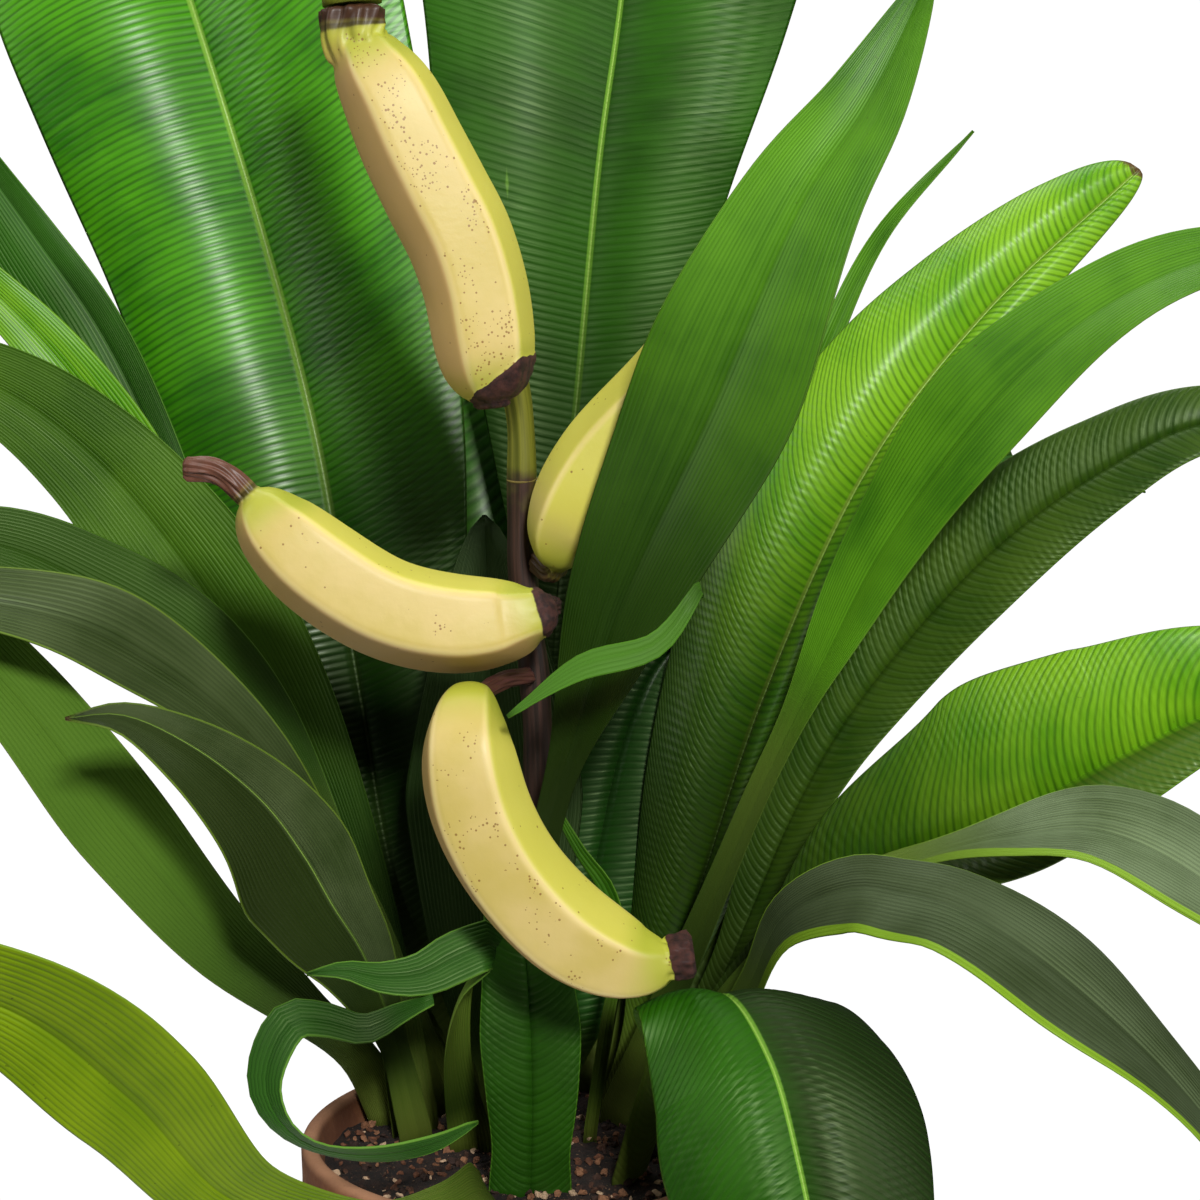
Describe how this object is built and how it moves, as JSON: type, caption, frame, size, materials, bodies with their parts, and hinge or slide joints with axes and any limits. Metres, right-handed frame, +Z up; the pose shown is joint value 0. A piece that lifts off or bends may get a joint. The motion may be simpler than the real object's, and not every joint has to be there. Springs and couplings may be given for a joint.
{
  "type": "potted dwarf banana plant",
  "caption": "Dwarf banana plant in a round clay pot: long glossy strap leaves arching from one clump, and a hooked stalk that carries pale yellow bananas.",
  "frame": {"origin": "centre of the pot's flat underside, on the surface that it stands on", "axes": "+Z up, +X to the plant's right as seen from the front, -Y the front, where the fruit hang"},
  "size_m": [0.7054, 0.6613, 0.8505],
  "materials": {
    "leaf": "satin",
    "stalk": "satin",
    "fruit": "satin",
    "clay": "matte",
    "potting_mix": "matte"
  },
  "bodies": {
    "root": {"leaf_back_left": "leaf", "leaf_back_centre": "leaf", "leaf_front_upright": "leaf", "leaf_spike": "leaf", "leaf_right_glossy": "leaf", "leaf_right_edge_on": "leaf", "leaf_right_shaded": "leaf", "leaf_right_bright": "leaf", "leaf_right_arching": "leaf", "leaf_right_drooping": "leaf", "leaf_over_rim": "leaf", "leaf_centre_strap": "leaf", "leaf_heart": "leaf", "leaf_young": "leaf", "leaf_middle": "leaf", "leaf_torn_tongue": "leaf", "leaf_near_left": "leaf", "leaf_left_strap": "leaf", "leaf_left_rolled_tip": "leaf", "leaf_left_grey": "leaf", "leaf_left_dark": "leaf", "leaf_left_broad": "leaf", "leaf_left_narrow": "leaf", "leaf_left_high": "leaf", "leaf_fan_1": "leaf", "leaf_fan_2": "leaf", "leaf_fan_3": "leaf", "leaf_fan_4": "leaf", "leaf_fan_5": "leaf", "leaf_fan_6": "leaf", "leaf_curled_lip": "leaf", "leaf_torn_loop": "leaf", "fruit_stalk": "stalk", "fruit_top": "fruit", "fruit_left": "fruit", "fruit_right": "fruit", "fruit_low": "fruit", "pot": "clay", "soil": "potting_mix"}
  },
  "joints": []
}
